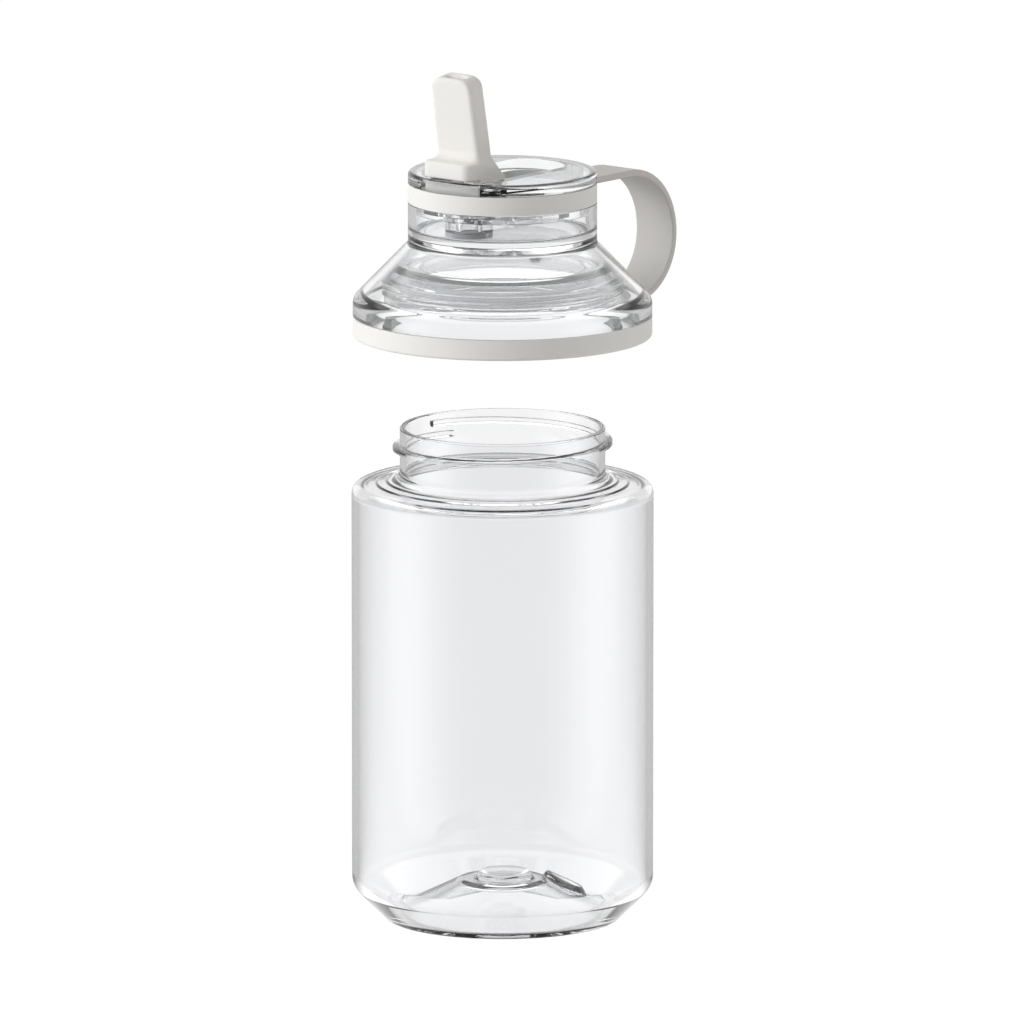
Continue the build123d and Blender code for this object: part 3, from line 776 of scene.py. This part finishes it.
# ---------------------------------------------------------------- deck
# Clear moulding that closes the tower, with the trough for the folded spout and
# the cheeks that hold its pins. The CAD's own shape is shown, as it is.
clear_deck = clear_plastic("clear_deck", lid_tint, lid_patches)


def refinish(node, material):
    """A CAD node shown as it is, with this material."""
    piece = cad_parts[node]
    piece.data.materials.clear()
    piece.data.materials.append(material)


refinish("deck", clear_deck)

# ---------------------------------------------------------------- carry strap
# Soft white polypropylene with a fine satin grain, moulded in one: a ring round
# the deck and a band out of it. The CAD's own shape is shown; the band is painted
# a greyer white than the ring, as painted shade for the tower's shadow on it.
# The band's greyer white is painted shade, for the shadow of the lid's tower on the band, not a different
# plastic.
ring_white, band_painted_shade_white = (0.87, 0.852, 0.82), (0.655, 0.63, 0.60)
band_from, band_to = tower_radius + 0.2 * mm, tower_radius + 2.0 * mm


def white_plastic(name, tint, roughness):
    """A white plastic with a fine satin grain."""
    sockets = {"Specular IOR Level": 0.35}
    return plastic(name, tint, roughness, roughness * 0.4, (60, 2600), 0.8, 0.03 * mm, sockets)


white_strap = white_plastic("white_strap", band_painted_shade_white, 0.5)
strap_nodes, strap_links = white_strap.node_tree.nodes, white_strap.node_tree.links
# Painted shade: along y, past the ring, the tint turns from the ring's white to the band's darker white.
strap_place = strap_nodes.new("ShaderNodeTexCoord")
strap_split = strap_nodes.new("ShaderNodeSeparateXYZ")
strap_links.new(strap_place.outputs["Object"], strap_split.inputs[0])
band_shade_mask = strap_nodes.new("ShaderNodeMapRange")
band_shade_mask.inputs["From Min"].default_value = band_from
band_shade_mask.inputs["From Max"].default_value = band_to
strap_links.new(strap_split.outputs["Y"], band_shade_mask.inputs["Value"])
strap_tint_and_painted_shade = strap_nodes.new("ShaderNodeMix")
strap_tint_and_painted_shade.data_type = "RGBA"
strap_tint_and_painted_shade.inputs["A"].default_value = (*ring_white, 1)
strap_tint_and_painted_shade.inputs["B"].default_value = (*band_painted_shade_white, 1)
strap_links.new(band_shade_mask.outputs["Result"], strap_tint_and_painted_shade.inputs["Factor"])
strap_look = next(node for node in strap_nodes if node.type == "GROUP")
strap_links.new(strap_tint_and_painted_shade.outputs["Result"], strap_look.inputs["Tint"])
refinish("carry_strap", white_strap)

# ---------------------------------------------------------------- base ring
# The same white polypropylene: a plain band that snaps over the spigot at the
# foot of the cone and traps the strap's lower end. The CAD's own shape is shown.
white_ring = white_plastic("white_ring", ring_white, 0.45)
refinish("base_ring", white_ring)

# ---------------------------------------------------------------- spout base
# Hard white polypropylene: the hinge drum down in the deck's well, the thumb
# shelf that flares up into the riser, and the riser, leaning forward as it
# stands open.
pivot_y, pivot_height = -13.5 * mm, 42.2 * mm
lean = radians(9.5)
axis_offset = 0.6 * mm         # the middle plane passes this far in front of the pivot
drum_radius = 5.9 * mm
drum_half_width = 8.0 * mm
shelf_front = -23.8 * mm
shelf_low, shelf_high = 44.8 * mm, 49.25 * mm
riser_half_width, riser_half_thick = 7.3 * mm, 2.95 * mm
riser_top = 10.6 * mm          # along the spout's own axis, from the pivot
drum_edge, cheek_corner = 0.6 * mm, 0.6 * mm
shelf_corner, riser_corner = 2.4 * mm, 1.5 * mm
shelf_edge, lower_edge = 0.7 * mm, 0.5 * mm
flare = 2.3 * mm
face_high = shelf_high - 1.6 * mm
cheek_top, cheek_hollow = 50.6 * mm, 0.35 * mm
drum_end = 116                 # degrees up round the drum, where the shelf starts
seam_support = 0.05 * mm       # a ring this near each cap keeps the seam crisp
spout_white = (0.88, 0.855, 0.815)
corner_points, long_points, short_points = 8, 10, 5


def rounded_ring(half_width, front, back, front_corner, back_corner):
    """Points (across, along) round a rectangle from front to back with two corner sizes."""
    corners = (
        (half_width - front_corner, front + front_corner, front_corner, -90),
        (half_width - back_corner, back - back_corner, back_corner, 0),
        (back_corner - half_width, back - back_corner, back_corner, 90),
        (front_corner - half_width, front + front_corner, front_corner, 180),
    )
    points = []
    for i, (x, y, corner, first) in enumerate(corners):
        arc = [
            (
                x + corner * cos(radians(first + 90 * k / corner_points)),
                y + corner * sin(radians(first + 90 * k / corner_points)),
            )
            for k in range(corner_points + 1)
        ]
        after = corners[(i + 1) % 4]
        start = (
            after[0] + after[2] * cos(radians(after[3])),
            after[1] + after[2] * sin(radians(after[3])),
        )
        gaps = short_points if i % 2 == 0 else long_points
        points += arc
        points += [
            (
                arc[-1][0] + (start[0] - arc[-1][0]) * k / gaps,
                arc[-1][1] + (start[1] - arc[-1][1]) * k / gaps,
            )
            for k in range(1, gaps)
        ]
    return points


def stacked(name, rings):
    """A closed mesh through rings of (x, y, z) points, capped at both ends."""
    count = len(rings[0])
    verts = [point for ring in rings for point in ring]
    faces = [tuple(reversed(range(count)))]
    for level in range(len(rings) - 1):
        low, high = level * count, (level + 1) * count
        for k in range(count):
            n = (k + 1) % count
            faces.append((low + k, low + n, high + n, high + k))
    faces.append(tuple(range(len(verts) - count, len(verts))))
    mesh = bpy.data.meshes.new(name)
    mesh.from_pydata(verts, [], faces)
    mesh.shade_smooth()
    mesh.polygons[0].use_smooth = mesh.polygons[-1].use_smooth = False
    piece = bpy.data.objects.new(name, mesh)
    bpy.context.scene.collection.objects.link(piece)
    return piece


def riser_face(height, side):
    """Where along y the riser's front (-1) or back (1) face is at a height in the lid."""
    middle = pivot_y - axis_offset - (height - pivot_height) * tan(lean)
    return middle + side * riser_half_thick / cos(lean)


def level_ring(front, back, half_width, front_corner, back_corner):
    """A ring between a front and a back (y, height) point of the side view."""
    depth = back[0] - front[0]
    return [
        (x, front[0] + share * depth, lid_base + front[1] + share * (back[1] - front[1]))
        for x, share in (
            (x, y / depth)
            for x, y in rounded_ring(half_width, 0, depth, front_corner, back_corner)
        )
    ]


def blended(a, b, share):
    """A value or point this share of the way from a to b."""
    if isinstance(a, tuple):
        return tuple(p + (q - p) * share for p, q in zip(a, b))
    return a + (b - a) * share


def eased(share):
    """Nought to one along a soft S."""
    return share * share * (3 - 2 * share)


base_rings = []
for degrees_up in (8, 14, 24, 36, 50, 65, 80, 95, 106, drum_end):
    bend = radians(degrees_up)
    half_depth = drum_radius * sin(bend)
    height = pivot_height - drum_radius * cos(bend)
    edge = min(drum_edge, half_depth * 0.6)
    base_rings.append(
        level_ring(
            (pivot_y - half_depth, height), (pivot_y + half_depth, height), drum_half_width, edge, edge
        )
    )
flare_height = shelf_high + flare
flare_y = riser_face(flare_height, -1) - flare / cos(lean)
front_points = [
    (blended(pivot_y - drum_radius, shelf_front, 0.55), shelf_low),
    (shelf_front + lower_edge, shelf_low),
    (shelf_front + lower_edge * 0.3, shelf_low + lower_edge * 0.24),
    (shelf_front, shelf_low + lower_edge * 0.9),
    (shelf_front, face_high),
]
front_points += [
    (
        shelf_front + shelf_edge - shelf_edge * cos(radians(turn)),
        shelf_high - shelf_edge + shelf_edge * sin(radians(turn)),
    )
    for turn in (0, 22, 45, 67, 90)
]
full_width = len(front_points) - 1      # so many rings are as wide as the drum
front_points += [
    (flare_y + flare * cos(radians(turn)), flare_height + flare * sin(radians(turn)))
    for turn in (-84, -70, -56, -42, -28, -14, 0, 9.5)
]
cheek_low = (pivot_y + drum_radius * sin(radians(drum_end)), shelf_low)
cheek_high = (riser_face(cheek_top, 1), cheek_top)
seam = (pivot_y - axis_offset - riser_top * sin(lean), pivot_height + riser_top * cos(lean))
seam_half = (riser_half_thick * cos(lean), riser_half_thick * sin(lean))
for i, front in enumerate(front_points):
    share = i / (len(front_points) - 1)
    back = blended(cheek_low, cheek_high, share)
    hollow = cheek_hollow * sin(pi * share)
    back = (back[0] - hollow, back[1] - hollow)
    narrow = max(0, i + 1 - full_width) / (len(front_points) - full_width)
    base_rings.append(
        level_ring(
            front,
            back,
            blended(drum_half_width, riser_half_width, eased(narrow)),
            blended(shelf_corner, riser_corner, narrow),
            blended(cheek_corner, riser_corner, share),
        )
    )
for down in (seam_support, 0.0):
    middle = (seam[0] + down * sin(lean), seam[1] - down * cos(lean))
    base_rings.append(
        level_ring(
            (middle[0] - seam_half[0], middle[1] - seam_half[1]),
            (middle[0] + seam_half[0], middle[1] + seam_half[1]),
            riser_half_width,
            riser_corner,
            riser_corner,
        )
    )
spout_base = stacked("spout_riser_and_shelf", base_rings)
white_spout = white_plastic("white_spout", spout_white, 0.48)
spout_base.data.materials.append(white_spout)
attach(spout_base, "spout")
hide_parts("spout_base")

# ---------------------------------------------------------------- mouthpiece
# Soft white sleeve pushed over the riser's flat tube. Its top is a rounded
# arch from side to side, dished round the slot that one drinks from.
mouth_top = 30.0 * mm          # along the spout's own axis, from the pivot
mouth_half_width = 7.0 * mm
mouth_half_thick = 2.95 * mm
mouth_arch, mouth_crown = 3.6 * mm, 0.35 * mm
mouth_edge = 0.9 * mm
mouth_side_corner = 1.5 * mm
mouth_low = riser_top + 0.01 * mm
slot_half_width, slot_half_thick, slot_depth = 3.1 * mm, 0.75 * mm, 6.0 * mm
slot_corner = slot_half_thick * 0.98
slot_taper = 0.94
dish_half_width, dish_half_thick, dish_depth = 4.4 * mm, 2.0 * mm, 0.9 * mm
dish_slope = 0.55              # how much of the dish's radius is slope
wall_rows, top_rows = 14, 10


def on_axis(x, across, up):
    """A point of the spout from its own (x, thickness, height) to the row's frame."""
    return (
        x,
        pivot_y - axis_offset + across * cos(lean) - up * sin(lean),
        lid_base + pivot_height + across * sin(lean) + up * cos(lean),
    )


def arch_top(x):
    """The height of the arched top at a distance from the middle."""
    past = max(0.0, abs(x) - (mouth_half_width - mouth_arch))
    return mouth_top - mouth_crown * (x / mouth_half_width) ** 2 - (
        mouth_arch - (max(0.0, mouth_arch**2 - past**2)) ** 0.5
    )


mouth_rings = []
for row in range(wall_rows + 1):
    share = row / wall_rows
    half_width = blended(riser_half_width, mouth_half_width, share)
    ring = rounded_ring(
        half_width, -mouth_half_thick, mouth_half_thick, mouth_side_corner, mouth_side_corner
    )
    squeeze = mouth_half_width / half_width
    mouth_rings.append(
        [
            on_axis(x, y, blended(mouth_low, arch_top(x * squeeze) - mouth_edge, share))
            for x, y in ring
        ]
    )
seam_ring = rounded_ring(
    riser_half_width, -mouth_half_thick, mouth_half_thick, mouth_side_corner, mouth_side_corner
)
mouth_rings.insert(1, [on_axis(x, y, mouth_low + seam_support) for x, y in seam_ring])
top_outer = rounded_ring(
    mouth_half_width, -mouth_half_thick, mouth_half_thick, mouth_side_corner, mouth_side_corner
)
slot_ring = rounded_ring(
    slot_half_width, -slot_half_thick, slot_half_thick, slot_corner, slot_corner
)
for turn in (20, 40, 60, 78, 90):
    inset = mouth_edge * (1 - cos(radians(turn)))
    drop = mouth_edge * (1 - sin(radians(turn)))
    ring = []
    for x, y in top_outer:
        x_in = x * (1 - inset / mouth_half_width)
        ring.append(on_axis(x_in, y * (1 - inset / mouth_half_thick), arch_top(x_in) - drop))
    mouth_rings.append(ring)
shrink = 1 - mouth_edge / mouth_half_width, 1 - mouth_edge / mouth_half_thick
for step in range(1, top_rows + 1):
    share = step / top_rows
    ring = []
    for (x, y), (slot_x, slot_y) in zip(top_outer, slot_ring):
        x_in = blended(x * shrink[0], slot_x, share)
        y_in = blended(y * shrink[1], slot_y, share)
        off = ((x_in / dish_half_width) ** 2 + (y_in / dish_half_thick) ** 2) ** 0.5
        dip = min(1.0, max(0.0, (1.0 - off) / dish_slope))
        ring.append(on_axis(x_in, y_in, arch_top(x_in) - dish_depth * eased(dip)))
    mouth_rings.append(ring)
for down in (0.3 * mm, 1.0 * mm, slot_depth):
    mouth_rings.append(
        [
            on_axis(x * slot_taper, y * slot_taper, mouth_top - dish_depth - down)
            for x, y in slot_ring
        ]
    )
mouthpiece = stacked("mouthpiece_sleeve", mouth_rings)
white_mouthpiece = white_plastic("white_mouthpiece", spout_white, 0.55)
mouthpiece.data.materials.append(white_mouthpiece)
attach(mouthpiece, "spout")
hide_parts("mouthpiece")

# ---------------------------------------------------------------- seals, valve and pins
# Translucent silicone rings and umbrella valve, pressed into their grooves, and
# two stubs of drawn steel wire that the spout turns on.
seal_silicone = plastic(
    "seal_silicone", (0.86, 0.87, 0.88), 0.35, 0.14, (80, 1800), 0.5, 0.02 * mm,
    {"Transmission Weight": 0.6, "IOR": 1.41},
)
for node in ("lid_packing", "plug_seal", "spout_seal", "duct_seal", "vent_valve"):
    refinish(node, seal_silicone)
pin_steel = plastic(
    "pin_steel", (0.62, 0.62, 0.63), 0.25, 0.1, (300, 4000), 0.6, 0.01 * mm, {"Metallic": 1.0},
)
for node in ("hinge_pin_left", "hinge_pin_right"):
    refinish(node, pin_steel)
